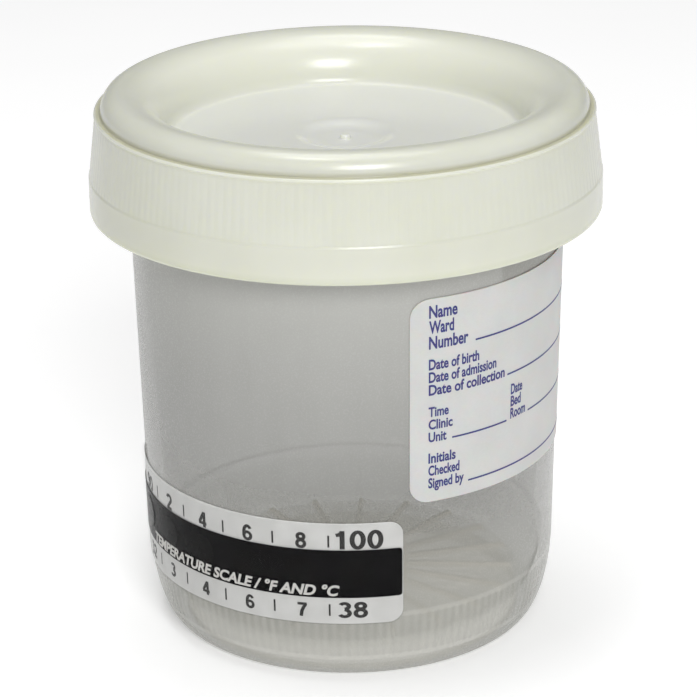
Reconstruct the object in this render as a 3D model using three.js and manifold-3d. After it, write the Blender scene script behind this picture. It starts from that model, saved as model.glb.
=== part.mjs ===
// Lidded specimen bottle: a frosted beaker with a two-start screw lid, a seal ring, a patient label and a
// liquid crystal temperature strip. Millimetres, +Z up, origin at the centre of the base.
//
// Every turned form is a profile of [radius, height] points. Bearings round the bottle are in degrees
// from -Y, positive towards +X.

import * as THREE from "three";
import { mergeVertices } from "three/addons/utils/BufferGeometryUtils.js";
import Module from "manifold-3d";

const wasm = await Module();
wasm.setup();

const RAD = Math.PI / 180;

// Overall sizes
const LID_RADIUS = 35;
const TOTAL_HEIGHT = 76;
const LID_BOTTOM_Z = 59.4;
const TURN_STEPS = 60;

// Cup
const FOOT_RADIUS = 24.5;
const CORNER_RADIUS = 28.5;
const CORNER_HEIGHT = 13;
const WALL_TOP_RADIUS = 29.65;
const WALL = 1.25;
const FOOT_WIDTH = 1.1;
const FLOOR_UNDERSIDE_Z = 3;
const FLOOR_Z = 4.4;
const NECK_RADIUS = 31.1;
const NECK_WALL = 1.3;
const NECK_BOTTOM_Z = 61.4;
const NECK_EDGE = 0.4;
const CUP_RIM_Z = 73;
const FLOOR_RIB = { count: 20, inner: 7, outer: 22.5, width: 0.8, height: 1.1, sunk: 0.5, firstBearing: 14 };

// Screw thread: two starts on the cup, two in the lid, with a working gap between the flanks
const THREAD = {
  starts: 2,
  lead: 10,
  turn: 270,
  rootHalfWidth: 1,
  crestHalfWidth: 0.45,
  height: 1.1,
  embed: 0.4,
  runOut: 20,
};
const CUP_THREAD_Z = 62.6;
const LID_THREAD_DROP = 1.6;

// Lid
const LID_INNER_RADIUS = 32.6;
const LID_WALL = 1.4;
const BAND_TOP_Z = 64.4;
const SHOULDER = { radius: 34, z: 73.1 };
const CREST = { radius: 30.6, outerWidth: 2.7, height: 2.6, innerRadius: 6.3 };
const DISH_FLOOR_Z = 69.2;
const DIMPLE = { radius: 6.6, bottomRadius: 4.6, depth: 0.8 };
const GATE_NUB = { radius: 0.8, height: 0.6 };
const GRIP = { ribs: 180, ribHeight: 0.3, inset: 0.1, coreDepth: 0.8, belowShoulder: 0.3 };
const LID_EDGE = 0.5;

// Seal ring between the cup's rim and the lid
const GASKET = { inner: 29.7, outer: 31.7, thickness: 0.9, clearance: 0.15 };

// Patient label and temperature strip: films that follow the wall. lift is the gap under a film.
const LABEL = { from: 15.6, to: 130, low: 26.2, high: 55, corner: 2.6, lift: 0.06, thickness: 0.12 };
const STRIP = { from: -94, to: 13.8, low: 9.2, high: 24, corner: 2 };
const BACKING = { lift: 0.06, thickness: 0.1 };
const BLACK = { from: -93.7, to: 13.5, low: 13.1, high: 20.1, corner: 0.5, lift: 0.2, thickness: 0.08 };
const CELL = { radius: 2.2, z: 16.9, lift: 0.32, thickness: 0.06 };
const COVER = { lift: 0.42, thickness: 0.08 };
const CELL_BEARINGS = { 90: -75.1, 92: -59.8, 94: -44.5, 96: -29.2, 98: -13.9, 100: 1.4 };

const frosted = new THREE.MeshStandardMaterial({ color: 0xaeaea6, roughness: 0.45, metalness: 0 });
const cream = new THREE.MeshStandardMaterial({ color: 0xe3e5d4, roughness: 0.35, metalness: 0 });
const sealRubber = new THREE.MeshStandardMaterial({ color: 0xf0efe8, roughness: 0.6, metalness: 0 });
const paper = new THREE.MeshStandardMaterial({ color: 0xe2e2de, roughness: 0.5, metalness: 0 });
const blackInk = new THREE.MeshStandardMaterial({ color: 0x14120f, roughness: 0.3, metalness: 0 });
const crystal = new THREE.MeshStandardMaterial({ color: 0x1c1b18, roughness: 0.25, metalness: 0 });
const clearFilm = new THREE.MeshStandardMaterial({ color: 0xf4f4f2, roughness: 0.1, metalness: 0 });

const bottle = new THREE.Group();

function addPiece(name, geometry, material) {
  const mesh = new THREE.Mesh(geometry, material);
  mesh.name = name;
  bottle.add(mesh);
}

// Points on an arc of an ellipse, at equal angles from start to end (degrees, 0 along +radius).
function arc(centreR, centreZ, halfR, halfZ, start, end, steps) {
  return Array.from({ length: steps + 1 }, (_, i) => {
    const angle = (start + ((end - start) * i) / steps) * RAD;
    return [centreR + halfR * Math.cos(angle), centreZ + halfZ * Math.sin(angle)];
  });
}

// A turned body from a profile that runs up the outside.
function turned(profile) {
  const points = profile.map(([r, z]) => new THREE.Vector2(r, z));
  return new THREE.LatheGeometry(points, TURN_STEPS).rotateX(Math.PI / 2);
}

function outerWallRadius(z) {
  const share = (z - CORNER_HEIGHT) / (LID_BOTTOM_Z - CORNER_HEIGHT);
  return CORNER_RADIUS + (WALL_TOP_RADIUS - CORNER_RADIUS) * share;
}

// Sweeps a section round the bottle, where x runs outwards and y up, or x inwards and y down.
// place(x, y, step) gives the [bearing, radius, z] of section point (x, y) at that step.
function swept(section, steps, place) {
  const outline = new THREE.Shape(section.map(([x, y]) => new THREE.Vector2(x, y)));
  const geometry = new THREE.ExtrudeGeometry(outline, { depth: steps, steps, bevelEnabled: false });
  const position = geometry.attributes.position;
  for (let v = 0; v < position.count; v++) {
    const step = steps - Math.round(position.getZ(v));
    const [bearing, radius, z] = place(position.getX(v), position.getY(v), step);
    position.setXYZ(v, radius * Math.sin(bearing * RAD), -radius * Math.cos(bearing * RAD), z);
  }
  return geometry;
}

function toSolid(geometry) {
  const bare = new THREE.BufferGeometry().setAttribute("position", geometry.attributes.position);
  bare.setIndex(geometry.index);
  const welded = mergeVertices(bare, 1e-4);
  const corners = welded.index.array;
  const kept = [];
  for (let t = 0; t < corners.length; t += 3) {
    const [a, b, c] = [corners[t], corners[t + 1], corners[t + 2]];
    if (a !== b && b !== c && c !== a) kept.push(a, b, c);
  }
  const mesh = new wasm.Mesh({
    numProp: 3,
    vertProperties: new Float32Array(welded.attributes.position.array),
    triVerts: new Uint32Array(kept),
  });
  return new wasm.Manifold(mesh);
}

function toGeometry(solid) {
  const mesh = solid.getMesh();
  const geometry = new THREE.BufferGeometry();
  geometry.setAttribute("position", new THREE.BufferAttribute(mesh.vertProperties, 3));
  geometry.setIndex(new THREE.BufferAttribute(mesh.triVerts, 1));
  geometry.computeVertexNormals();
  return geometry;
}

// One thread ridge. rootRadius is the wall it stands on, and side is 1 on the cup and -1 inside the lid.
function threadRidge(rootRadius, side, startZ, startBearing) {
  const { turn, lead, rootHalfWidth, crestHalfWidth, height, embed, runOut } = THREAD;
  const steps = turn / (360 / TURN_STEPS);
  const section = [
    [-embed, -rootHalfWidth],
    [0, -rootHalfWidth],
    [height, -crestHalfWidth],
    [height, crestHalfWidth],
    [0, rootHalfWidth],
    [-embed, rootHalfWidth],
  ];
  return swept(section, steps, (x, y, step) => {
    const along = (turn * step) / steps;
    const full = Math.min(1, Math.min(along, turn - along) / runOut);
    const stand = x > 0 ? x * (0.1 + 0.9 * full) : x;
    return [startBearing + along, rootRadius + side * stand, startZ + (lead * along) / 360 + side * y];
  });
}

function withThreads(body, rootRadius, side, startZ) {
  let solid = body;
  for (let start = 0; start < THREAD.starts; start++) {
    const ridge = threadRidge(rootRadius, side, startZ, (360 / THREAD.starts) * start);
    solid = solid.add(toSolid(ridge));
  }
  return solid;
}

function cupBody() {
  const footInner = FOOT_RADIUS - FOOT_WIDTH;
  const neckInner = NECK_RADIUS - NECK_WALL;
  const wallInner = CORNER_RADIUS - WALL;
  const profile = [
    [0, FLOOR_UNDERSIDE_Z],
    [footInner - 1, FLOOR_UNDERSIDE_Z],
    [footInner - 0.2, FLOOR_UNDERSIDE_Z - 0.8],
    [footInner, 0],
    ...arc(FOOT_RADIUS, CORNER_HEIGHT, CORNER_RADIUS - FOOT_RADIUS, CORNER_HEIGHT, -90, 0, 6),
    [WALL_TOP_RADIUS, LID_BOTTOM_Z + 0.2],
    [NECK_RADIUS, NECK_BOTTOM_Z],
    [NECK_RADIUS, CUP_RIM_Z - NECK_EDGE],
    [NECK_RADIUS - NECK_EDGE, CUP_RIM_Z],
    [neckInner + NECK_EDGE, CUP_RIM_Z],
    [neckInner, CUP_RIM_Z - NECK_EDGE],
    [neckInner, NECK_BOTTOM_Z + 0.4],
    [WALL_TOP_RADIUS - WALL, LID_BOTTOM_Z + 0.2],
    [wallInner, CORNER_HEIGHT],
    [wallInner - 0.35, CORNER_HEIGHT * 0.73],
    [wallInner - 1, CORNER_HEIGHT * 0.53],
    [wallInner - 2, FLOOR_Z + 0.6],
    [wallInner - 3.2, FLOOR_Z],
    [0, FLOOR_Z],
  ];
  return toSolid(turned(profile));
}

function floorRib(bearing) {
  const { inner, outer, width, height, sunk } = FLOOR_RIB;
  const bar = new THREE.BoxGeometry(width, outer - inner, height + sunk);
  bar.translate(0, -(inner + outer) / 2, FLOOR_Z + (height - sunk) / 2);
  return bar.rotateZ(bearing * RAD);
}

function cup() {
  let solid = withThreads(cupBody(), NECK_RADIUS, 1, CUP_THREAD_Z);
  for (let rib = 0; rib < FLOOR_RIB.count; rib++) {
    solid = solid.add(toSolid(floorRib(FLOOR_RIB.firstBearing + (360 / FLOOR_RIB.count) * rib)));
  }
  return toGeometry(solid);
}

function lidBody() {
  const undersideZ = DISH_FLOOR_Z - LID_WALL;
  const dishWallRadius = CREST.radius - CREST.innerRadius;
  const dishCentreZ = TOTAL_HEIGHT - CREST.innerRadius;
  const plugCurve = CREST.innerRadius - LID_WALL;
  const crestFootZ = TOTAL_HEIGHT - CREST.height;
  const gripTopZ = SHOULDER.z - GRIP.belowShoulder;
  const dimpleZ = DISH_FLOOR_Z - DIMPLE.depth;
  const profile = [
    [0, undersideZ - DIMPLE.depth],
    [DIMPLE.bottomRadius + 1, undersideZ - DIMPLE.depth],
    [DIMPLE.radius + 1, undersideZ],
    [dishWallRadius - 0.3, undersideZ],
    [dishWallRadius + 0.8, undersideZ + 0.5],
    ...arc(CREST.radius, dishCentreZ, plugCurve, plugCurve, 180, 90, 4),
    [LID_INNER_RADIUS - LID_EDGE, crestFootZ + 0.8],
    [LID_INNER_RADIUS, crestFootZ],
    [LID_INNER_RADIUS, LID_BOTTOM_Z + 0.8],
    [LID_INNER_RADIUS + LID_EDGE, LID_BOTTOM_Z],
    [LID_RADIUS - LID_EDGE, LID_BOTTOM_Z],
    [LID_RADIUS, LID_BOTTOM_Z + LID_EDGE],
    [LID_RADIUS, BAND_TOP_Z],
    [LID_RADIUS - GRIP.coreDepth, BAND_TOP_Z],
    [SHOULDER.radius - GRIP.coreDepth, gripTopZ],
    [SHOULDER.radius, gripTopZ],
    [SHOULDER.radius, SHOULDER.z],
    ...arc(CREST.radius, crestFootZ, CREST.outerWidth, CREST.height, 0, 90, 4),
    ...arc(CREST.radius, dishCentreZ, CREST.innerRadius, CREST.innerRadius, 105, 180, 5),
    [dishWallRadius - 0.8, DISH_FLOOR_Z],
    [DIMPLE.radius, DISH_FLOOR_Z],
    [DIMPLE.bottomRadius, dimpleZ],
    [GATE_NUB.radius, dimpleZ],
    [GATE_NUB.radius * 0.8, dimpleZ + GATE_NUB.height],
    [0, dimpleZ + GATE_NUB.height],
  ];
  return toSolid(turned(profile));
}

// The grip: a ring with a zigzag outline that leans in with the lid's side and closes on its core.
function gripRing() {
  const outline = new THREE.Shape(
    Array.from({ length: 2 * GRIP.ribs }, (_, i) => {
      const radius = LID_RADIUS - GRIP.inset - (i % 2) * GRIP.ribHeight;
      const angle = (Math.PI * i) / GRIP.ribs;
      return new THREE.Vector2(radius * Math.cos(angle), radius * Math.sin(angle));
    })
  );
  const innerRadius = SHOULDER.radius - 1.5 * GRIP.coreDepth;
  outline.holes.push(new THREE.Path().absarc(0, 0, innerRadius, 0, 2 * Math.PI));
  const sunk = 0.15;
  const depth = SHOULDER.z - GRIP.belowShoulder - BAND_TOP_Z + 2 * sunk;
  const curveSegments = TURN_STEPS / 2;
  const ring = new THREE.ExtrudeGeometry(outline, { depth, curveSegments, bevelEnabled: false });
  const position = ring.attributes.position;
  for (let v = 0; v < position.count; v++) {
    const [x, y, z] = [position.getX(v), position.getY(v), position.getZ(v)];
    const outside = Math.hypot(x, y) > (innerRadius + SHOULDER.radius) / 2;
    const lean = outside ? ((LID_RADIUS - SHOULDER.radius) * z) / depth : 0;
    const share = 1 - lean / LID_RADIUS;
    position.setXYZ(v, x * share, y * share, z + BAND_TOP_Z - sunk);
  }
  return ring;
}

function lid() {
  const body = lidBody().add(toSolid(gripRing()));
  return toGeometry(withThreads(body, LID_INNER_RADIUS, -1, CUP_THREAD_Z - LID_THREAD_DROP));
}

function gasket() {
  const bottom = CUP_RIM_Z + GASKET.clearance;
  const top = bottom + GASKET.thickness;
  return turned([
    [GASKET.inner, bottom],
    [GASKET.outer, bottom],
    [GASKET.outer, top],
    [GASKET.inner, top],
    [GASKET.inner, bottom],
  ]);
}

// A film on the wall. edges(share) gives its [bearing, low, high] at a share of its length, from 0 to 1.
function film(lift, thickness, steps, edges) {
  const section = [
    [0, 0],
    [1, 0],
    [1, 1],
    [0, 1],
  ];
  return swept(section, steps, (x, y, step) => {
    const [bearing, low, high] = edges(step / steps);
    const z = low + (high - low) * y;
    return [bearing, outerWallRadius(z) + lift + thickness * x, z];
  });
}

// A long film with rounded corners, whose stations close up round each corner.
function roundedFilm({ from, to, low, high, corner }, lift, thickness) {
  const cornerSteps = 4;
  const middleSteps = Math.ceil((to - from) / 3);
  const cornerBearing = corner / CORNER_RADIUS / RAD;
  const steps = middleSteps + 2 * cornerSteps;
  return film(lift, thickness, steps, (share) => {
    const station = Math.round(share * steps);
    const fromEnd = Math.min(station, steps - station);
    const angle = (90 * RAD * Math.min(fromEnd, cornerSteps)) / cornerSteps;
    const cut = (corner - 0.3) * (1 - Math.sin(angle));
    const inset = cornerBearing * (1 - Math.cos(angle));
    const middle = (station - cornerSteps) / middleSteps;
    const straight = from + cornerBearing + (to - from - 2 * cornerBearing) * middle;
    const nearEnd = station < steps / 2 ? from + inset : to - inset;
    return [fromEnd < cornerSteps ? nearEnd : straight, low + cut, high - cut];
  });
}

// A round cell of the temperature strip.
function cell(bearing) {
  const steps = 16;
  return film(CELL.lift, CELL.thickness, steps, (share) => {
    const across = -Math.cos(share * Math.PI) * CELL.radius;
    const half = Math.max(0.15, Math.sqrt(Math.max(0, CELL.radius ** 2 - across ** 2)));
    return [bearing + across / CORNER_RADIUS / RAD, CELL.z - half, CELL.z + half];
  });
}

addPiece("cup", cup(), frosted);
addPiece("lid", lid(), cream);
addPiece("rim_gasket", gasket(), sealRubber);
addPiece("patient_label", roundedFilm(LABEL, LABEL.lift, LABEL.thickness), paper);
addPiece("strip_backing", roundedFilm(STRIP, BACKING.lift, BACKING.thickness), paper);
addPiece("strip_black_layer", roundedFilm(BLACK, BLACK.lift, BLACK.thickness), blackInk);
for (const [degrees, bearing] of Object.entries(CELL_BEARINGS)) {
  addPiece(`liquid_crystal_${degrees}`, cell(bearing), crystal);
}
addPiece("strip_cover", roundedFilm(STRIP, COVER.lift, COVER.thickness), clearFilm);

export default bottle;
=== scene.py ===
"""Lidded specimen bottle: its looks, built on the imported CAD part.

Sizes are millimetres until a mesh is made. Bearings round the bottle are in degrees from -Y, positive
towards +X.
"""

import math

import bmesh
import bpy
import numpy as np
from mathutils import Matrix, Vector


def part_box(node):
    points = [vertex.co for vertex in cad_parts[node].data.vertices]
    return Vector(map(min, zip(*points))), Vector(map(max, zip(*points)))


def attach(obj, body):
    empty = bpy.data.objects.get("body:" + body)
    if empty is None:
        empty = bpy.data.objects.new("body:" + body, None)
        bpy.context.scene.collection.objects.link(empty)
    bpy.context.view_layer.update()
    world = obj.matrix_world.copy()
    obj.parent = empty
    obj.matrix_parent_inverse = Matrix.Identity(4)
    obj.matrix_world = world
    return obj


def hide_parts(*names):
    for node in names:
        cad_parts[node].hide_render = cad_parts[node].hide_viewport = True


MM = 0.001
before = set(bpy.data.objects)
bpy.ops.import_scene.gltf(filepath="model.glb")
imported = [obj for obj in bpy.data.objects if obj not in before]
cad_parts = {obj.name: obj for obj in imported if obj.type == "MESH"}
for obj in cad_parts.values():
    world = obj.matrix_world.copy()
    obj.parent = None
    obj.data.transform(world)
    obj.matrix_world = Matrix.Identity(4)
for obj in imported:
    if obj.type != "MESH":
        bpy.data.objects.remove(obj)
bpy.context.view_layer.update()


def extent(node):
    """Lowest and highest corner of a CAD node."""
    low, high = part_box(node)
    return [v / MM for v in low], [v / MM for v in high]


# Cup
RIM_Z = extent("cup")[1][2]
FOOT_RADIUS = 24.5
FOOT_WIDTH = 1.1
CORNER_RADIUS = 28.5
CORNER_Z = 13
WALL_TOP_RADIUS = 29.65
WALL = 1.25
FLOOR_UNDERSIDE_Z = 3
FLOOR_Z = 4.4
NECK_RADIUS = 31.1
NECK_WALL = 1.3
NECK_BOTTOM_Z = 61.4
CUP_STEPS = 864
FLOOR_RIB = {"count": 20, "first": 14, "inner": 7, "outer": 22.5, "half_width": 0.4, "height": 1.1}
BASE_RIBS = {"count": 144, "top": 9.8, "height": 0.3}

# Lid
LID_RADIUS = extent("lid")[1][0]
LID_BOTTOM_Z = extent("lid")[0][2]
LID_TOP_Z = extent("lid")[1][2]
LID_INNER_RADIUS = 32.6
LID_WALL = 1.4
BAND_TOP_Z = LID_BOTTOM_Z + 5
SHOULDER_RADIUS = 34
SHOULDER_Z = LID_TOP_Z - 2.9
CREST_RADIUS = 30.6
CREST_OUTER_WIDTH = 2.5
CREST_HEIGHT = 2.6
CREST_INNER_RADIUS = 6.3
DISH_FLOOR_Z = LID_TOP_Z - 6.8
DIMPLE = {"radius": 6.6, "bottom_radius": 4.6, "depth": 0.8}
GATE_NUB = {"radius": 0.8, "height": 0.6}
LID_STEPS = 1080
GRIP = {"count": 180, "height": 0.04, "inset": 0.12, "below_shoulder": 0.3}

# Seal ring
SEAL = {"inner": 29.7, "outer": 31.7, "edge": 0.25, "steps": 240}

# Screw thread, two starts on each part
THREAD = {"lead": 10, "turn": 270, "root_half": 1, "crest_half": 0.45, "height": 1.1, "run_out": 20}
CUP_THREAD_Z = NECK_BOTTOM_Z + 1.2
LID_THREAD_Z = LID_BOTTOM_Z + 1.6

# Films on the wall: the gap under each one and its thickness
LABEL = {"from": 15.6, "to": 130, "corner": 2.6, "lift": 0.06, "thickness": 0.12}
BACKING = {"from": -94, "to": 13.8, "corner": 2, "lift": 0.06, "thickness": 0.1}
BLACK = {"from": -93.7, "to": 13.5, "corner": 0.5, "lift": 0.2, "thickness": 0.08}
COVER = {"from": -94, "to": 13.8, "corner": 2, "lift": 0.42, "thickness": 0.08}
CELL = {"radius": 2.2, "z": 16.9, "lift": 0.32, "thickness": 0.06}
CELL_BEARINGS = {90: -75.1, 92: -59.8, 94: -44.5, 96: -29.2, 98: -13.9, 100: 1.4}

# Printing: how far its middle stands off the wall, and how thick the ink is. The caption lies under the clear
# film, above the liquid crystal cells.
LABEL_INK_LIFT = 0.19
STRIP_INK_LIFT = 0.165
CAPTION_LIFT = 0.4
INK = 0.02


# Shapes


def wall_radius(z):
    """Outside radius of the cup's wall above its rounded corner."""
    share = (z - CORNER_Z) / (LID_BOTTOM_Z - CORNER_Z)
    return CORNER_RADIUS + (WALL_TOP_RADIUS - CORNER_RADIUS) * share


def arc(centre_r, centre_z, half_r, half_z, start, end, count=14):
    """Points on an arc of an ellipse, from one angle to another, 0 along +radius."""
    angles = np.radians(np.linspace(start, end, count + 1))
    return [(centre_r + half_r * math.cos(a), centre_z + half_z * math.sin(a)) for a in angles]


def outline(corners, curve_steps=5):
    """A line through corners of (radius, z) or (radius, z, cut), where a cut rounds the corner off."""
    points = []
    for i, (r, z, *cut) in enumerate(corners):
        here = np.array((r, z))
        if not cut:
            points.append(here)
            continue
        to_last = np.array(corners[i - 1][:2]) - here
        to_next = np.array(corners[(i + 1) % len(corners)][:2]) - here
        start = here + to_last / np.linalg.norm(to_last) * cut[0]
        end = here + to_next / np.linalg.norm(to_next) * cut[0]
        for t in np.linspace(0, 1, curve_steps + 1):
            points.append((1 - t) ** 2 * start + 2 * t * (1 - t) * here + t**2 * end)
    return points


def spaced(points, step):
    """The same line, with no two neighbours further apart than step."""
    filled = [np.array(points[0])]
    for here in points[1:]:
        here = np.array(here)
        gap = np.linalg.norm(here - filled[-1])
        if gap > 1e-6:
            count = math.ceil(gap / step)
            last = filled[-1]
            filled += [last + (here - last) * k / count for k in range(1, count + 1)]
    return filled


def on_bottle(bearing, radius, z):
    """Points [x, y, z] from bearings, radii and heights."""
    angle = np.radians(bearing)
    points = np.broadcast_arrays(radius * np.sin(angle), -radius * np.cos(angle), z)
    return np.stack(points, -1).reshape(-1, 3)


def turned(profile, steps, shape=None):
    """Points and faces of a body turned about Z. A profile from axis to axis ends in two fans, and any other
    closes on itself. shape(radius, z, bearing) moves the points of its rings."""
    profile = np.array(profile)
    rings = profile[profile[:, 0] > 1e-6]
    bearing = np.arange(steps) * 360 / steps
    radius = np.repeat(rings[:, :1], steps, 1)
    z = np.repeat(rings[:, 1:], steps, 1)
    if shape:
        radius, z = shape(radius, z, bearing[None, :])
    points = on_bottle(bearing, radius, z)
    closed = len(rings) == len(profile)
    turn = np.roll(np.arange(steps), -1)
    faces = []
    for low in range(len(rings) if closed else len(rings) - 1):
        a = low * steps
        b = (low + 1) % len(rings) * steps
        faces += [(a + j, a + k, b + k, b + j) for j, k in enumerate(turn)]
    if not closed:
        first, last = len(points), len(points) + 1
        points = np.vstack([points, [[0, 0, profile[0][1]], [0, 0, profile[-1][1]]]])
        end = (len(rings) - 1) * steps
        faces += [(first, k, j) for j, k in enumerate(turn)]
        faces += [(last, end + j, end + k) for j, k in enumerate(turn)]
    return points, faces


def thread_height(bearing, z, start_z):
    """How far the two-start thread stands out at each point."""
    stand = np.zeros_like(bearing * z)
    for first in (0, 180):
        along = (bearing - first) % 360
        centre = start_z + THREAD["lead"] * along / 360
        flank = (THREAD["root_half"] - abs(z - centre)) / (THREAD["root_half"] - THREAD["crest_half"])
        fade = np.minimum(along, THREAD["turn"] - along) / THREAD["run_out"]
        stand = np.maximum(stand, THREAD["height"] * np.clip(flank, 0, 1) * np.clip(fade, 0, 1))
    return stand


def ridges(bearing, count, sharpness=1.0):
    """0 to 1 round the bottle, with count rounded ridges."""
    return (0.5 + 0.5 * np.cos(np.radians(bearing * count))) ** sharpness


def ramp(value, start, end):
    """0 before start, 1 after end, and smooth between."""
    t = np.clip((value - start) / (end - start), 0, 1)
    return t * t * (3 - 2 * t)


def film_shell(area, low, high, step=1.5, rows=8):
    """Points and faces of a thin film with rounded corners on the wall."""
    corner = area["corner"]
    corner_bearing = math.degrees(corner / CORNER_RADIUS)
    stations = []
    for angle in np.radians(np.linspace(0, 90, 9)):
        stations.append((corner_bearing * (1 - math.cos(angle)), (corner - 0.1) * (1 - math.sin(angle))))
    length = area["to"] - area["from"]
    middle = np.arange(corner_bearing + step, length / 2, step)
    stations += [(inset, 0) for inset in middle]
    start = [(area["from"] + inset, cut) for inset, cut in stations]
    end = [(area["to"] - inset, cut) for inset, cut in reversed(stations)]
    bearing, cut = np.array(start + end).T
    share = np.linspace(0, 1, rows + 1)
    z = (low + cut)[:, None] + (high - low - 2 * cut)[:, None] * share
    inner = wall_radius(z) + area["lift"]
    turn = bearing[:, None]
    return shell(on_bottle(turn, inner, z), on_bottle(turn, inner + area["thickness"], z), rows)


def shell(inner, outer, rows, ends=True):
    """Closes the gap between two grids of points, rows + 1 to each station, into one solid. Without ends,
    the last station lies on the first."""
    per = rows + 1
    stations = len(inner) // per
    offset = len(inner)
    faces = []
    for s in range(stations - 1):
        for r in range(rows):
            a = s * per + r
            b = a + per
            faces.append((a, a + 1, b + 1, b))
            faces.append((offset + a, offset + b, offset + b + 1, offset + a + 1))
        for r in (0, rows):
            a = s * per + r
            faces.append((a, a + per, offset + a + per, offset + a))
    for s in (0, stations - 1) if ends else ():
        for r in range(rows):
            a = s * per + r
            faces.append((a, a + 1, offset + a + 1, offset + a))
    return np.vstack([inner, outer]), faces


def disc_shell(bearing, radius, z, lift, thickness, rows=6, steps=24):
    """Points and faces of a round film on the wall."""
    across = -np.cos(np.linspace(0, math.pi, steps + 1)) * radius
    half = np.maximum(0.06, np.sqrt(np.maximum(0, radius**2 - across**2)))
    height = z + half[:, None] * np.linspace(-1, 1, rows + 1)
    turn = (bearing + np.degrees(across / wall_radius(z)))[:, None]
    inner = wall_radius(height) + lift
    return shell(on_bottle(turn, inner, height), on_bottle(turn, inner + thickness, height), rows)


def capital_height():
    """Height of a capital letter of size 1."""
    curve = bpy.data.curves.new("capital", "FONT")
    curve.body = "H"
    letter = bpy.data.objects.new("capital", curve)
    bpy.context.scene.collection.objects.link(letter)
    bpy.context.view_layer.update()
    height = letter.dimensions.y
    bpy.data.objects.remove(letter)
    bpy.data.curves.remove(curve)
    return height


def type_outline(text, bold, slant):
    """Points and faces of flat lettering. Its left foot is at the origin, and its capitals have height 1."""
    curve = bpy.data.curves.new("type", "FONT")
    curve.body = text
    curve.resolution_u = 4
    curve.offset = bold
    curve.shear = slant
    curve.extrude = 0.5
    letters = bpy.data.objects.new("type", curve)
    bpy.context.scene.collection.objects.link(letters)
    graph = bpy.context.evaluated_depsgraph_get()
    mesh = bpy.data.meshes.new_from_object(letters.evaluated_get(graph))
    points = np.array([v.co for v in mesh.vertices])
    faces = [tuple(p.vertices) for p in mesh.polygons]
    bpy.data.objects.remove(letters)
    bpy.data.curves.remove(curve)
    bpy.data.meshes.remove(mesh)
    points[:, 0] -= points[:, 0].min()
    points[:, :2] /= CAPITAL
    return points, faces


def lettering(text, bearing, z, height, width, lift, bold=0.0, slant=0.0):
    """Points and faces of text printed on the wall. Its foot is at z and its left end at bearing."""
    points, faces = type_outline(text, bold, slant)
    x = points[:, 0] * width / points[:, 0].max()
    up = z + points[:, 1] * height
    radius = wall_radius(up) + lift + points[:, 2] * INK
    return on_bottle(bearing + np.degrees(x / wall_radius(z)), radius, up), faces


# Figures of height 1 as strokes of (middle line, whether it closes on itself)
LOW_LOOP = arc(0.28, 0.3, 0.21, 0.23, 0, 360, 28)
SIX = [(LOW_LOOP, True), ([(0.07, 0.3), *arc(0.29, 0.5, 0.22, 0.43, 180, 38)], False)]
STROKES = {
    "0": [(arc(0.28, 0.5, 0.21, 0.43, 0, 360, 32), True)],
    "1": [([(0.36, 0), (0.36, 1)], False), ([(0.12, 0.76), (0.24, 0.79), (0.32, 0.87)], False)],
    "2": [
        (arc(0.28, 0.7, 0.21, 0.23, 165, -35) + [(0.1, 0.1)], False),
        ([(0.02, 0.07), (0.52, 0.07)], False),
    ],
    "3": [
        (arc(0.27, 0.75, 0.18, 0.18, 155, -90), False),
        (arc(0.27, 0.29, 0.21, 0.22, 90, -155), False),
    ],
    "4": [
        ([(0.4, 0), (0.4, 1)], False),
        ([(0.37, 0.95), (0.05, 0.3)], False),
        ([(0, 0.26), (0.56, 0.26)], False),
    ],
    "6": SIX,
    "7": [
        ([(0.02, 0.93), (0.54, 0.93)], False),
        ([(0.49, 0.92), (0.36, 0.68), (0.26, 0.4), (0.21, 0)], False),
    ],
    "8": [
        (arc(0.28, 0.75, 0.18, 0.18, 0, 360, 24), True),
        (arc(0.28, 0.29, 0.21, 0.22, 0, 360, 28), True),
    ],
    "9": [([(0.56 - x, 1 - y) for x, y in line], closed) for line, closed in SIX],
}
# From one figure to the next, and the width of a stroke
ADVANCE = 0.66
STROKE = 0.195
BIG_STROKE = 0.19


def ribbon(line, closed, width):
    """Both edges of a stroke, station by station, as an array of [x, y] pairs."""
    line = np.array(line)
    if closed:
        along = np.roll(line[:-1], -1, 0) - np.roll(line[:-1], 1, 0)
        along = np.vstack([along, along[:1]])
    else:
        along = np.gradient(line, axis=0)
    along /= np.linalg.norm(along, axis=1)[:, None]
    aside = np.stack([along[:, 1], -along[:, 0]], 1) * width / 2
    return np.stack([line - aside, line + aside], 1)


def numeral(text, bearing, z, height, width, lift, weight=STROKE):
    """Points and faces of a number printed on the wall in plain strokes."""
    strokes = []
    for place, figure in enumerate(text):
        for line, closed in STROKES[figure]:
            strokes.append((ribbon(line, closed, weight) + (place * ADVANCE, 0), closed))
    left = min(edges[:, :, 0].min() for edges, _ in strokes)
    right = max(edges[:, :, 0].max() for edges, _ in strokes)
    parts = []
    for edges, closed in strokes:
        x = (edges[:, :, 0] - left) * width / (right - left)
        up = z + edges[:, :, 1] * height
        turn = bearing + np.degrees(x / wall_radius(z))
        radius = wall_radius(up) + lift - INK / 2
        parts.append(shell(on_bottle(turn, radius, up), on_bottle(turn, radius + INK, up), 1, not closed))
    return together(parts)


def rule(start, end, z, half_width, lift):
    """Points and faces of a printed line or tick round the wall, from one bearing to another."""
    bearing = np.linspace(start, end, max(2, math.ceil(abs(end - start) / 1.5)) + 1)[:, None]
    height = z + half_width * np.array([[-1, 1]])
    radius = wall_radius(height) + lift - INK / 2
    return shell(on_bottle(bearing, radius, height), on_bottle(bearing, radius + INK, height), 1)


def together(parts):
    """Several (points, faces) as one."""
    points = []
    faces = []
    count = 0
    for part_points, part_faces in parts:
        faces += [tuple(v + count for v in face) for face in part_faces]
        points.append(part_points)
        count += len(part_points)
    return np.vstack(points), faces


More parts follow.
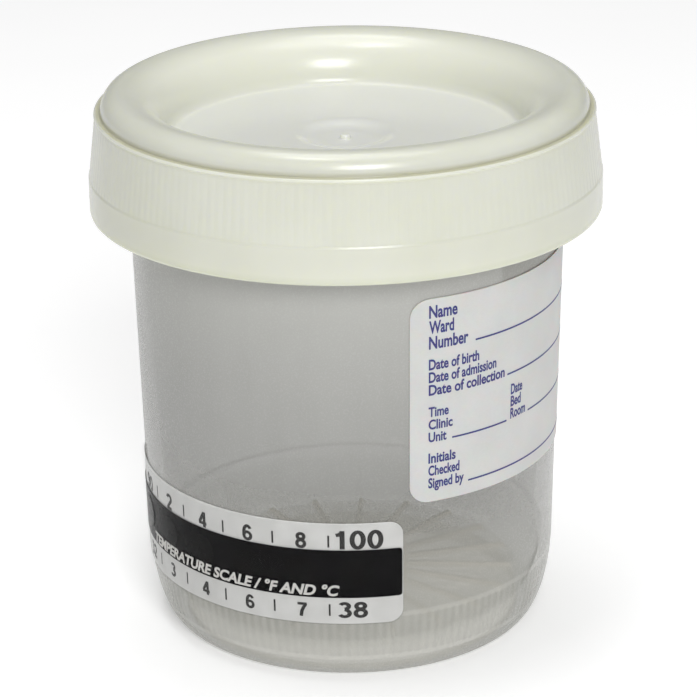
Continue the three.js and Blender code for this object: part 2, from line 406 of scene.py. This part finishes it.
def add_piece(name, form, finish, body, replaces=(), sharp=35):
    """Adds one piece of the object from its points and faces."""
    points, faces = form
    mesh = bpy.data.meshes.new(name)
    mesh.from_pydata((points * MM).tolist(), [], faces)
    work = bmesh.new()
    work.from_mesh(mesh)
    bmesh.ops.remove_doubles(work, verts=work.verts, dist=1e-7)
    bmesh.ops.recalc_face_normals(work, faces=work.faces)
    work.to_mesh(mesh)
    work.free()
    mesh.shade_smooth()
    mesh.set_sharp_from_angle(angle=math.radians(sharp))
    mesh.materials.append(finish)
    piece = bpy.data.objects.new(name, mesh)
    bpy.context.scene.collection.objects.link(piece)
    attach(piece, body)
    if replaces:
        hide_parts(*replaces)
    return piece


def film_piece(name, area, finish, node):
    """Adds a film on the cup's wall, between the heights of its CAD node."""
    low, high = extent(node)
    add_piece(name, film_shell(area, low[2], high[2]), finish, "cup", [node])


# Materials


class Finish:
    """A material with one Principled shader, and the noise, ramps and bumps that feed it."""

    def __init__(self, name, **constants):
        self.material = bpy.data.materials.new(name)
        self.material.use_nodes = True
        self.tree = self.material.node_tree
        self.shader = self.tree.nodes["Principled BSDF"]
        for socket, value in constants.items():
            self.shader.inputs[socket.replace("_", " ")].default_value = value
        place = self.tree.nodes.new("ShaderNodeTexCoord")
        self.place = place.outputs["Object"]

    def node(self, kind, inputs=None, **settings):
        """Adds a node. An input is another node's output, or a value."""
        made = self.tree.nodes.new(kind)
        for name, value in settings.items():
            setattr(made, name, value)
        for key, value in (inputs or {}).items():
            if isinstance(value, bpy.types.NodeSocket):
                self.tree.links.new(value, made.inputs[key])
            else:
                made.inputs[key].default_value = value
        return made

    def stretched(self, x, y, z):
        """The piece's own place, stretched before a texture reads it."""
        return self.node("ShaderNodeMapping", {"Vector": self.place, "Scale": (x, y, z)}).outputs["Vector"]

    def noise(self, size, detail=3.0, vector=None):
        """Noise with features of about that size in millimetres."""
        inputs = {"Vector": vector or self.place, "Scale": 1 / (size * MM), "Detail": detail}
        return self.node("ShaderNodeTexNoise", inputs).outputs["Fac"]

    def ranged(self, value, low, high, to_low, to_high):
        """to_low where value is low, to_high where it is high, and straight between."""
        keys = ("Value", "From Min", "From Max", "To Min", "To Max")
        inputs = dict(zip(keys, (value, low, high, to_low, to_high)))
        return self.node("ShaderNodeMapRange", inputs).outputs[0]

    def mix(self, share, first, second):
        """A colour between two: the second where share is 1."""
        made = self.node("ShaderNodeMix", data_type="RGBA")
        for index, value in ((0, share), (6, first), (7, second)):
            if isinstance(value, bpy.types.NodeSocket):
                self.tree.links.new(value, made.inputs[index])
            else:
                made.inputs[index].default_value = value
        return made.outputs[2]

    def maths(self, operation, first, second=0.0):
        made = self.node("ShaderNodeMath", {0: first, 1: second}, operation=operation)
        return made.outputs[0]

    def radius_and_height(self):
        """Distance from the bottle's axis and height, in metres."""
        split = self.node("ShaderNodeSeparateXYZ", {"Vector": self.place})
        flat = self.node("ShaderNodeCombineXYZ", {"X": split.outputs["X"], "Y": split.outputs["Y"]})
        length = self.node("ShaderNodeVectorMath", {0: flat.outputs[0]}, operation="LENGTH")
        return length.outputs["Value"], split.outputs["Z"]

    def ridged(self, count):
        """0 to 1 round the bottle, highest on each of count ridges."""
        split = self.node("ShaderNodeSeparateXYZ", {"Vector": self.place})
        back = self.maths("MULTIPLY", split.outputs["Y"], -1.0)
        angle = self.maths("ARCTAN2", split.outputs["X"], back)
        wave = self.maths("COSINE", self.maths("MULTIPLY", angle, float(count)))
        return self.ranged(wave, -1, 1, 0, 1)

    def bumps(self, *layers):
        """Stacks bumps of (height, depth in millimetres)."""
        normal = None
        for height, depth in layers:
            inputs = {"Height": height, "Distance": depth * MM}
            if normal:
                inputs["Normal"] = normal
            normal = self.node("ShaderNodeBump", inputs).outputs["Normal"]
        self.feed("Normal", normal)

    def feed(self, socket, value):
        self.tree.links.new(value, self.shader.inputs[socket])


def grey(value, warmth=0.0):
    """A grey with a little of its blue taken out."""
    return (value, value, value * (1 - warmth), 1)


# How fast the middle of the cup's wall draws in below the rounded corner, for each metre of height squared
SKIN_CURVE = 28.0


def cup_finish():
    """Frosted, milky moulding. Its outer skin holds back most of the view and its inner skin little. The
    wall is painted lighter near the lid and in the base, and the floor and its rib crests lighter still:
    painted light, standing in for light that passes through the plastic. The ribs round the base are painted
    whiter, partly for the thicker haze of the plastic there and partly as painted light and shade on their
    relief, with painted highlight lines where they end and at the floor. The tones go by height, radius and
    the count of ribs, with faint noise, and nothing marks out one side."""
    finish = Finish("cup_plastic", IOR=1.45, Specular_IOR_Level=0.35)
    radius, height = finish.radius_and_height()
    cloud = finish.noise(9)
    grain = finish.noise(0.22, 2)
    flow = finish.noise(3, 2, finish.stretched(1, 1, 0.12))

    # The outer skin is what lies outside the middle of the wall, which curves in at the rounded corner
    below = finish.maths("MAXIMUM", finish.maths("SUBTRACT", CORNER_Z * MM, height), 0.0)
    in_corner = finish.maths("MULTIPLY", finish.maths("MULTIPLY", below, below), SKIN_CURVE)
    slope = (WALL_TOP_RADIUS - CORNER_RADIUS) / (LID_BOTTOM_Z - CORNER_Z)
    lean = finish.maths("MULTIPLY", finish.maths("SUBTRACT", height, CORNER_Z * MM), slope)
    mid_wall = finish.maths("ADD", lean, (CORNER_RADIUS - WALL / 2) * MM)
    outer = finish.maths("GREATER_THAN", radius, finish.maths("SUBTRACT", mid_wall, in_corner))

    tone = finish.ranged(finish.maths("ADD", cloud, flow), 0.7, 1.3, -0.03, 0.03)
    # Painted light: the wall is painted lighter towards the lid, standing in for light that passes through
    # the plastic; the faint noise in tone is the plastic's own
    rise = finish.maths("ADD", finish.ranged(height, 28 * MM, 57 * MM, 0.08, 0.72), tone)
    milk = finish.mix(rise, (0.24, 0.24, 0.222, 1), (0.56, 0.56, 0.53, 1))
    # Painted light: lighter again in the base, below the rounded corner
    low = finish.ranged(height, 2 * CORNER_Z * MM, CORNER_Z * MM, 0, 1)
    milk = finish.mix(low, milk, (0.43, 0.43, 0.395, 1))

    # Painted highlight: light lines where the ribs end and at the floor
    for ring in (BASE_RIBS["top"] + 0.3, FLOOR_UNDERSIDE_Z + 0.4):
        off_ring = finish.maths("ABSOLUTE", finish.maths("SUBTRACT", height, ring * MM))
        ring_painted_highlight = finish.maths("MULTIPLY", outer, finish.ranged(off_ring, 0.15 * MM, 0.5 * MM, 0.35, 0))
        milk = finish.mix(ring_painted_highlight, milk, (0.80, 0.79, 0.74, 1))

    # Ribs round the base, painted whiter: partly the thicker haze of the plastic there, partly painted light
    # and shade that picks out their relief
    in_wall = finish.maths("GREATER_THAN", radius, (FLOOR_RIB["outer"] + 1) * MM)
    ribbed = finish.ranged(height, (BASE_RIBS["top"] + 0.3) * MM, BASE_RIBS["top"] * MM, 0, 1)
    above_floor = finish.maths("GREATER_THAN", height, (FLOOR_UNDERSIDE_Z + 0.6) * MM)
    ribbed = finish.maths("MULTIPLY", ribbed, above_floor)
    ribbed = finish.maths("MULTIPLY", ribbed, finish.ranged(flow, 0.35, 0.65, 0.3, 1))
    stripes = finish.maths("MULTIPLY", in_wall, ribbed)
    stripes = finish.maths("MULTIPLY", stripes, finish.ridged(BASE_RIBS["count"]))
    milk = finish.mix(finish.maths("MULTIPLY", stripes, 0.11), milk, (0.80, 0.79, 0.72, 1))

    # Painted light: the floor, and the crests of its ribs, painted lighter, standing in for light that passes
    # up through the base
    on_floor = finish.maths("SUBTRACT", 1.0, in_wall)
    milk = finish.mix(on_floor, milk, (0.86, 0.84, 0.77, 1))
    raised = finish.ranged(height, (FLOOR_Z + 0.1) * MM, (FLOOR_Z + 0.9) * MM, 0, 1)
    crests = finish.maths("MULTIPLY", on_floor, raised)
    milk = finish.mix(crests, milk, (0.98, 0.92, 0.80, 1))
    finish.feed("Base Color", milk)

    # How much each skin holds back
    haze = finish.ranged(height, 22 * MM, 50 * MM, 0.41, 0.62)
    skin = finish.maths("ADD", finish.maths("MULTIPLY", outer, haze), 0.12)
    skin = finish.maths("ADD", skin, finish.maths("MULTIPLY", stripes, 0.1))
    skin = finish.maths("ADD", skin, finish.maths("MULTIPLY", on_floor, 0.35))
    finish.feed("Alpha", finish.maths("ADD", skin, finish.maths("MULTIPLY", crests, 0.5)))
    finish.feed("Roughness", finish.ranged(grain, 0.3, 0.7, 0.22, 0.30))
    finish.bumps((cloud, 0.04), (grain, 0.006))
    return finish.material


def lid_finish():
    """Waxy cream moulding that a little light passes through. Its light and shade are partly painted, the
    same
    all the way round: the dish painted lighter and its floor greyer, the plain band a little darker, and the
    ledge outside the crest and the lower edge darker and greener."""
    finish = Finish("lid_plastic", IOR=1.5, Subsurface_Weight=0.5, Subsurface_Radius=(1, 1, 0.55))
    finish.shader.inputs["Subsurface Scale"].default_value = 0.003
    radius, height = finish.radius_and_height()
    cloud = finish.noise(14)
    grain = finish.noise(0.5, 2)
    patchy = finish.ranged(cloud, 0.35, 0.65, 0, 1)
    cream = finish.mix(patchy, (0.64, 0.65, 0.56, 1), (0.67, 0.68, 0.60, 1))
    # Painted light: the dish is painted a lighter cream than the rim
    dish_wall = finish.ranged(radius, (CREST_RADIUS - 1) * MM, (CREST_RADIUS - 4) * MM, 0, 1)
    cream = finish.mix(dish_wall, cream, (0.78, 0.79, 0.68, 1))
    # Painted shade: the dish floor painted greyer, where the thin floor shows the darker inside
    dish_floor_painted_shade = finish.maths(
        "MULTIPLY",
        finish.ranged(radius, 24.5 * MM, 22.5 * MM, 0, 1),
        finish.ranged(height, (DISH_FLOOR_Z + 1.2) * MM, (DISH_FLOOR_Z + 0.2) * MM, 0, 1),
    )
    dished = finish.mix(dish_floor_painted_shade, cream, (0.69, 0.70, 0.66, 1))
    # Painted shade: the ledge outside the crest painted olive, for the shade in the groove below the crest
    ledge_painted_shade = finish.maths(
        "MULTIPLY",
        finish.ranged(radius, (SHOULDER_RADIUS - 0.1) * MM, (SHOULDER_RADIUS - 0.4) * MM, 0, 0.8),
        finish.ranged(height, (SHOULDER_Z + 0.9) * MM, (SHOULDER_Z + 0.2) * MM, 0, 1),
    )
    ledge_painted_shade = finish.maths("MULTIPLY", ledge_painted_shade, finish.maths("GREATER_THAN", radius, CREST_RADIUS * MM))
    dished = finish.mix(ledge_painted_shade, dished, (0.52, 0.51, 0.36, 1))
    # Painted shade: the plain band painted a little darker
    band_painted_shade = finish.maths("LESS_THAN", height, BAND_TOP_Z * MM)
    dished = finish.mix(finish.maths("MULTIPLY", band_painted_shade, 0.15), dished, (0.50, 0.50, 0.42, 1))
    # Painted shade: the lower edge painted darker and greener
    lower_edge_painted_shade = finish.ranged(height, (LID_BOTTOM_Z + 1.2) * MM, LID_BOTTOM_Z * MM, 0, 0.6)
    finish.feed("Base Color", finish.mix(lower_edge_painted_shade, dished, (0.47, 0.49, 0.38, 1)))
    finish.feed("Roughness", finish.ranged(grain, 0.2, 0.8, 0.22, 0.26))
    finish.bumps((cloud, 0.08), (grain, 0.003))
    return finish.material


def seal_finish():
    """Soft pale rubber with a little dust on it."""
    finish = Finish("seal", IOR=1.45, Roughness=0.55)
    dust = finish.noise(0.4, 3)
    dusty = finish.ranged(dust, 0.3, 0.7, 0, 1)
    finish.feed("Base Color", finish.mix(dusty, grey(0.74, 0.04), grey(0.82, 0.03)))
    finish.bumps((dust, 0.01))
    return finish.material


def paper_finish():
    """Coated label stock: short fibres under a thin matt coat."""
    finish = Finish("label_paper", IOR=1.4, Coat_Weight=0.15, Coat_Roughness=0.35, Subsurface_Weight=0.5)
    finish.shader.inputs["Subsurface Scale"].default_value = 0.0003
    fibres = finish.noise(0.5, 4, finish.stretched(1, 1, 2.5))
    cloud = finish.noise(6)
    tone = finish.maths("ADD", finish.maths("MULTIPLY", fibres, 0.4), finish.maths("MULTIPLY", cloud, 0.6))
    tone = finish.ranged(tone, 0.35, 0.65, 0, 1)
    finish.feed("Base Color", finish.mix(tone, grey(0.565, 0.02), grey(0.605, 0.02)))
    finish.feed("Roughness", finish.ranged(fibres, 0.3, 0.7, 0.45, 0.6))
    finish.bumps((fibres, 0.008))
    return finish.material


def print_finish(name, thin, dense, coverage=0.5):
    """Printing ink that lies a little thinner in places."""
    finish = Finish(name, IOR=1.45)
    speck = finish.noise(0.18, 3)
    bare = finish.ranged(speck, coverage - 0.15, coverage + 0.15, 0, 1)
    finish.feed("Base Color", finish.mix(bare, dense, thin))
    finish.feed("Roughness", finish.ranged(speck, 0.3, 0.7, 0.35, 0.5))
    return finish.material


def strip_white_finish():
    """Smooth white carrier of the temperature strip."""
    finish = Finish("strip_white", IOR=1.5, Roughness=0.3)
    cloud = finish.noise(2.5, 3)
    tone = finish.ranged(cloud, 0.35, 0.65, 0, 1)
    finish.feed("Base Color", finish.mix(tone, grey(0.62, 0.03), grey(0.68, 0.025)))
    finish.bumps((finish.noise(1.2, 2), 0.01))
    return finish.material


def strip_black_finish():
    """Glossy black backing with a trace of violet, and the faint unevenness of a laminate."""
    finish = Finish("strip_black", IOR=1.5, Specular_IOR_Level=0.03)
    mottle = finish.noise(1.6, 4)
    uneven = finish.ranged(mottle, 0.3, 0.7, 0, 1)
    black = finish.mix(uneven, (0.002, 0.0018, 0.002, 1), (0.004, 0.0035, 0.004, 1))
    finish.feed("Base Color", black)
    finish.feed("Roughness", finish.ranged(mottle, 0.3, 0.7, 0.22, 0.32))
    finish.bumps((mottle, 0.004))
    return finish.material


def crystal_finish():
    """Liquid crystal out of its range: almost black, with a little brown and green in its mottle."""
    finish = Finish("liquid_crystal", IOR=1.5, Specular_IOR_Level=0.045)
    mottle = finish.noise(0.7, 4)
    hue = finish.noise(2.2, 2)
    tint = finish.ranged(hue, 0.4, 0.6, 0, 1)
    tint = finish.mix(tint, (0.004, 0.003, 0.003, 1), (0.003, 0.004, 0.0035, 1))
    uneven = finish.ranged(mottle, 0.3, 0.7, 0, 1)
    finish.feed("Base Color", finish.mix(uneven, (0.0025, 0.002, 0.002, 1), tint))
    finish.feed("Roughness", finish.ranged(mottle, 0.3, 0.7, 0.2, 0.3))
    finish.bumps((mottle, 0.002))
    return finish.material


def clear_finish():
    """Clear, slightly wavy film."""
    finish = Finish("clear_film", IOR=1.5, Alpha=0.06)
    wave = finish.noise(7, 2)
    finish.feed("Base Color", finish.mix(wave, grey(0.01), grey(0.02)))
    finish.feed("Roughness", finish.ranged(wave, 0.3, 0.7, 0.06, 0.14))
    finish.bumps((wave, 0.05))
    return finish.material


# Cup


def cup_shape(radius, z, bearing):
    """Thread on the neck, ribs round the base and on the floor."""
    on_neck = (radius > NECK_RADIUS - 0.05) & (z > NECK_BOTTOM_Z)
    radius = radius + on_neck * thread_height(bearing, z, CUP_THREAD_Z)
    inner_wall = (radius < wall_radius(z) - 0.6 * WALL) & (z > FLOOR_Z + 0.3)
    ribbed = inner_wall * ramp(z, FLOOR_Z + 0.3, FLOOR_Z + 1)
    ribbed = ribbed * ramp(z, BASE_RIBS["top"], BASE_RIBS["top"] - 0.5)
    skirt = (z < FLOOR_UNDERSIDE_Z - 0.4) & (radius < FOOT_RADIUS - 0.7 * FOOT_WIDTH) & (z > 0.3)
    radius = radius - (ribbed + skirt) * BASE_RIBS["height"] * ridges(bearing, BASE_RIBS["count"], 1.5)
    on_floor = (abs(z - FLOOR_Z) < 0.05) & (radius > 1)
    pitch = 360 / FLOOR_RIB["count"]
    aside = (bearing - FLOOR_RIB["first"] + pitch / 2) % pitch - pitch / 2
    aside = abs(np.radians(aside) * radius)
    ends = ramp(radius, FLOOR_RIB["inner"] - 0.3, FLOOR_RIB["inner"])
    ends = ends * ramp(radius, FLOOR_RIB["outer"] + 0.6, FLOOR_RIB["outer"])
    crest = ramp(aside, FLOOR_RIB["half_width"] + 0.12, FLOOR_RIB["half_width"] - 0.12)
    return radius, z + on_floor * FLOOR_RIB["height"] * ends * crest


def cup_form():
    """Points and faces of the cup. Its profile runs from the underside of the floor to its top."""
    foot_inner = FOOT_RADIUS - FOOT_WIDTH
    neck_inner = NECK_RADIUS - NECK_WALL
    wall_inner = CORNER_RADIUS - WALL
    outside = outline(
        [
            (0, FLOOR_UNDERSIDE_Z),
            (foot_inner - 0.2, FLOOR_UNDERSIDE_Z, 0.6),
            (foot_inner, 0, 0.25),
            (FOOT_RADIUS, 0),
        ]
    )
    corner = arc(FOOT_RADIUS, CORNER_Z, CORNER_RADIUS - FOOT_RADIUS, CORNER_Z, -90, 0, 20)[1:]
    rim = outline(
        [
            (WALL_TOP_RADIUS, LID_BOTTOM_Z + 0.2, 0.5),
            (NECK_RADIUS, NECK_BOTTOM_Z, 0.5),
            (NECK_RADIUS, RIM_Z, 0.45),
            (neck_inner, RIM_Z, 0.45),
            (neck_inner, NECK_BOTTOM_Z + 0.4, 0.5),
            (WALL_TOP_RADIUS - WALL, LID_BOTTOM_Z + 0.2, 0.5),
            (wall_inner, CORNER_Z),
        ]
    )[:-1]
    inside = outline(
        [
            (wall_inner, CORNER_Z, 1.5),
            (wall_inner - 0.35, CORNER_Z * 0.73, 1),
            (wall_inner - 1, CORNER_Z * 0.53, 0.8),
            (wall_inner - 2, FLOOR_Z + 0.6, 0.5),
            (wall_inner - 3.2, FLOOR_Z, 0.5),
            (0, FLOOR_Z),
        ]
    )
    base = spaced(outside + corner, 0.6)
    neck = spaced([corner[-1], *rim], 0.3)
    low = spaced([rim[-1], *inside], 0.45)
    return turned([*base, *neck[1:], *low[1:]], CUP_STEPS, cup_shape)


# Lid


def lid_shape(radius, z, bearing):
    """Thread inside the skirt and ribs round the grip."""
    grip_top = SHOULDER_Z - GRIP["below_shoulder"]
    skirt_inside = (abs(radius - LID_INNER_RADIUS) < 0.05) & (z > LID_BOTTOM_Z + 0.8)
    radius = radius - skirt_inside * thread_height(bearing, z, LID_THREAD_Z)
    grip = (z > BAND_TOP_Z + 0.1) & (z < grip_top) & (radius > SHOULDER_RADIUS - 1)
    ends = ramp(z, BAND_TOP_Z, BAND_TOP_Z + 0.5) * ramp(z, grip_top, grip_top - 0.5)
    return radius + grip * ends * GRIP["height"] * ridges(bearing, GRIP["count"], 0.7), z


def lid_form():
    """Points and faces of the lid, turned from a profile that runs from under the dimple to the gate nub."""
    underside = DISH_FLOOR_Z - LID_WALL
    dish_radius = CREST_RADIUS - CREST_INNER_RADIUS
    dish_centre = LID_TOP_Z - CREST_INNER_RADIUS
    plug_curve = CREST_INNER_RADIUS - LID_WALL
    crest_foot = LID_TOP_Z - CREST_HEIGHT
    grip_top = SHOULDER_Z - GRIP["below_shoulder"]
    dimple = DISH_FLOOR_Z - DIMPLE["depth"]
    root = GRIP["height"] + GRIP["inset"]
    plug = outline(
        [
            (0, underside - DIMPLE["depth"]),
            (DIMPLE["bottom_radius"] + 1, underside - DIMPLE["depth"], 0.8),
            (DIMPLE["radius"] + 1, underside, 0.8),
            (dish_radius + 0.2, underside, 0.6),
            (dish_radius + 1.4, underside + 1.2),
        ]
    )[:-1]
    under_crest = arc(CREST_RADIUS, dish_centre, plug_curve, plug_curve, 180, 90)
    skirt = outline(
        [
            under_crest[-1],
            (LID_INNER_RADIUS, crest_foot + 0.3, 1),
            (LID_INNER_RADIUS, LID_BOTTOM_Z + 0.8, 0.3),
            (LID_INNER_RADIUS + 0.5, LID_BOTTOM_Z, 0.3),
            (LID_RADIUS, LID_BOTTOM_Z, 0.6),
            (LID_RADIUS, BAND_TOP_Z, 0.15),
            (LID_RADIUS - root, BAND_TOP_Z + 0.3, 0.15),
            (SHOULDER_RADIUS - root, grip_top, 0.08),
            (SHOULDER_RADIUS, grip_top + 0.08, 0.08),
            (SHOULDER_RADIUS - 0.05, SHOULDER_Z + 0.15, 0.2),
            (CREST_RADIUS + CREST_OUTER_WIDTH, SHOULDER_Z + 0.1, 0.25),
            (CREST_RADIUS + CREST_OUTER_WIDTH - 0.02, crest_foot + 0.4),
        ]
    )[1:]
    crest = arc(CREST_RADIUS, crest_foot, CREST_OUTER_WIDTH, CREST_HEIGHT, 10, 90)
    dish_wall = arc(CREST_RADIUS, dish_centre, CREST_INNER_RADIUS, CREST_INNER_RADIUS, 90, 176, 22)[1:]
    dish = outline(
        [
            dish_wall[-1],
            (dish_radius - 0.3, DISH_FLOOR_Z, 0.6),
            (DIMPLE["radius"], DISH_FLOOR_Z, 0.9),
            (DIMPLE["bottom_radius"], dimple, 1),
            (GATE_NUB["radius"], dimple, 0.15),
            (GATE_NUB["radius"] * 0.8, dimple + GATE_NUB["height"], 0.2),
            (0, dimple + GATE_NUB["height"]),
        ]
    )[1:]
    top = spaced([*plug, *under_crest], 0.8)
    side = spaced([under_crest[-1], *skirt], 0.3)
    rest = spaced([skirt[-1], *crest, *dish_wall, *dish], 0.5)
    return turned([*top, *side[1:], *rest[1:]], LID_STEPS, lid_shape)


# The pieces

cup_plastic = cup_finish()
lid_plastic = lid_finish()
paper = paper_finish()
strip_white = strip_white_finish()
strip_black = strip_black_finish()
liquid_crystal = crystal_finish()
clear_film = clear_finish()
label_ink = print_finish("label_ink", (0.07, 0.065, 0.24, 1), (0.03, 0.028, 0.16, 1), 0.6)
scale_ink = print_finish("scale_ink", (0.030, 0.028, 0.026, 1), (0.010, 0.009, 0.009, 1))
white_ink = print_finish("white_ink", (0.60, 0.59, 0.56, 1), (0.72, 0.71, 0.68, 1))

CAPITAL = capital_height()

add_piece("cup_moulding", cup_form(), cup_plastic, "cup", ["cup"])
add_piece("lid_moulding", lid_form(), lid_plastic, "lid", ["lid"])

seal_low, seal_high = extent("rim_gasket")
seal_outline = outline(
    [
        (SEAL["inner"], seal_low[2], SEAL["edge"]),
        (SEAL["outer"], seal_low[2], SEAL["edge"]),
        (SEAL["outer"], seal_high[2], SEAL["edge"]),
        (SEAL["inner"], seal_high[2], SEAL["edge"]),
    ]
)
seal_ring = turned(seal_outline, SEAL["steps"])
add_piece("seal_ring", seal_ring, seal_finish(), "seal", ["rim_gasket"])

film_piece("label_sheet", LABEL, paper, "patient_label")
film_piece("strip_carrier", BACKING, strip_white, "strip_backing")
film_piece("strip_black_coat", BLACK, strip_black, "strip_black_layer")
film_piece("strip_clear_film", COVER, clear_film, "strip_cover")
for degrees, bearing in CELL_BEARINGS.items():
    node = f"liquid_crystal_{degrees}"
    disc = disc_shell(bearing, CELL["radius"], CELL["z"], CELL["lift"], CELL["thickness"])
    add_piece(f"crystal_cell_{degrees}", disc, liquid_crystal, "cup", [node])

# Printing on the patient label. A block is (foot of the first row, row pitch, capital height, rows of
# (words, width), bearing of its left end), and a write-on line is (bearing of its start, of its end, height).
LABEL_LEFT = 20.7
LABEL_RIGHT = 122
LABEL_BOLD = 0.028
LABEL_BLOCKS = [
    (52.35, 2.15, 1.65, [("Name", 4.1), ("Ward", 3.6), ("Number", 5.8)], LABEL_LEFT),
    (
        45.1,
        1.8,
        1.4,
        [("Date of birth", 7.6), ("Date of admission", 10.6), ("Date of collection", 12.2)],
        LABEL_LEFT,
    ),
    (38.45, 1.8, 1.3, [("Time", 2.9), ("Clinic", 3.5), ("Unit", 2.6)], LABEL_LEFT),
    (38.5, 1.75, 1.4, [("Date", 2.5), ("Bed", 2.2), ("Room", 3.3)], 47.3),
    (31.8, 1.8, 1.35, [("Initials", 4.0), ("Checked", 4.6), ("Signed by", 5.3)], LABEL_LEFT),
]
RULES = [
    (34.3, LABEL_RIGHT, 48.1),
    (45.7, LABEL_RIGHT, 41.6),
    (27.5, 45.8, 34.95),
    (55.2, LABEL_RIGHT, 34.95),
    (32.6, LABEL_RIGHT, 28.15),
]
RULE_HALF_WIDTH = 0.12
printed = [rule(start, end, z, RULE_HALF_WIDTH, LABEL_INK_LIFT) for start, end, z in RULES]
for foot, pitch, height, rows, left in LABEL_BLOCKS:
    for row, (words, width) in enumerate(rows):
        up = foot - row * pitch
        printed.append(lettering(words, left, up, height, width, LABEL_INK_LIFT, bold=LABEL_BOLD))
add_piece("label_print", together(printed), label_ink, "cup")

# Printing on the temperature strip: Fahrenheit above the black band and Celsius below it. A big figure is
# (digits, bearing of its left end, height, width). A small digit is DIGIT_WIDTH times its height wide.
STRIP_PITCH = 15.3
FAHRENHEIT = {
    "foot": 20.25,
    "big": ("100", -4.3, 2.7, 6.4),
    "small": ["8", "6", "4", "2", "90"],
    "height": 2.25,
}
CELSIUS = {"foot": 10.1, "big": ("38", -3.85, 2.3, 4.0), "small": ["7", "6", "4", "3", "32"], "height": 2.0}
DIGIT_WIDTH = 0.68
DIGIT_SHIFT = 0.4
TICK = {"half_width": 0.13, "first": -6.1, "count": 6, "height": 1.75, "rise": 0.25}
CAPTION = {"left": -70, "foot": 13.5, "height": 1.45, "width": 33.2, "bold": 0.035, "slant": 0.25}
scale = []
for row in (FAHRENHEIT, CELSIUS):
    words, left, height, width = row["big"]
    scale.append(numeral(words, left, row["foot"], height, width, STRIP_INK_LIFT, weight=BIG_STROKE))
    for place, digits in enumerate(row["small"]):
        centre = CELL_BEARINGS[98] + DIGIT_SHIFT - place * STRIP_PITCH
        width = DIGIT_WIDTH * row["height"] * len(digits)
        left = centre - math.degrees(width / 2 / CORNER_RADIUS)
        scale.append(numeral(digits, left, row["foot"], row["height"], width, STRIP_INK_LIFT))
    for place in range(TICK["count"]):
        centre = TICK["first"] - place * STRIP_PITCH
        half = math.degrees(TICK["half_width"] / CORNER_RADIUS)
        middle = row["foot"] + TICK["rise"] + TICK["height"] / 2
        scale.append(rule(centre - half, centre + half, middle, TICK["height"] / 2, STRIP_INK_LIFT))
add_piece("strip_scale", together(scale), scale_ink, "cup")
caption = lettering(
    "TEMPERATURE SCALE / °F AND °C",
    CAPTION["left"],
    CAPTION["foot"],
    CAPTION["height"],
    CAPTION["width"],
    CAPTION_LIFT,
    bold=CAPTION["bold"],
    slant=CAPTION["slant"],
)
add_piece("strip_caption", caption, white_ink, "cup")


# Stage, light and camera


def add_floor():
    """A pale plane that carries on past the view."""
    finish = Finish("stage_floor", Roughness=0.9, Emission_Color=(1, 1, 1, 1), Emission_Strength=0.28)
    finish.feed("Base Color", finish.mix(finish.noise(40), grey(0.94), grey(0.97)))
    mesh = bpy.data.meshes.new("floor")
    size = 3
    corners = [(-size, -size, 0), (size, -size, 0), (size, size, 0), (-size, size, 0)]
    mesh.from_pydata(corners, [], [(0, 1, 2, 3)])
    mesh.materials.append(finish.material)
    floor = bpy.data.objects.new("floor", mesh)
    bpy.context.scene.collection.objects.link(floor)


def add_softbox(name, place, size, watts, target=(0, 0, 0.04)):
    """A soft rectangular light that faces the bottle. Place and size are in metres."""
    light = bpy.data.lights.new(name, "AREA")
    light.shape = "RECTANGLE"
    light.size, light.size_y = size
    light.energy = watts
    lamp = bpy.data.objects.new(name, light)
    lamp.location = place
    lamp.rotation_euler = (Vector(target) - lamp.location).to_track_quat("-Z", "Y").to_euler()
    bpy.context.scene.collection.objects.link(lamp)


def add_world(strength):
    """Even white light from all round."""
    world = bpy.data.worlds.new("studio")
    world.use_nodes = True
    background = world.node_tree.nodes["Background"]
    background.inputs["Color"].default_value = (1, 1, 1, 1)
    background.inputs["Strength"].default_value = strength
    bpy.context.scene.world = world


def add_camera(elevation, distance, focal_length, roll, target):
    """Looks at the target from the front. Elevation and roll are in degrees, distances in metres."""
    angle = math.radians(elevation)
    camera = bpy.data.objects.new("camera", bpy.data.cameras.new("camera"))
    camera.data.lens = focal_length
    camera.data.sensor_width = 36
    camera.data.clip_start = 0.01
    back = Vector((0, -math.cos(angle), math.sin(angle)))
    turn = (-back).to_track_quat("-Z", "Y").to_matrix() @ Matrix.Rotation(math.radians(roll), 3, "Z")
    camera.matrix_world = Matrix.Translation(Vector(target) + back * distance) @ turn.to_4x4()
    bpy.context.scene.collection.objects.link(camera)
    bpy.context.scene.camera = camera


add_floor()
add_softbox("key", (0.12, -0.72, 0.5), (0.3, 0.3), 4.1)
add_softbox("top_wide", (0, 0.05, 0.9), (0.6, 0.4), 2.1)
add_softbox("top_near", (-0.12, -0.1, 0.85), (0.22, 0.1), 0.75)
add_softbox("top_far", (-0.05, 0.3, 0.8), (0.3, 0.12), 0.7)
add_world(0.22)
add_camera(elevation=20.79, distance=0.4311, focal_length=159.7, roll=-0.86, target=(0, 0, 0.03783))
bpy.context.scene.view_settings.view_transform = "Standard"
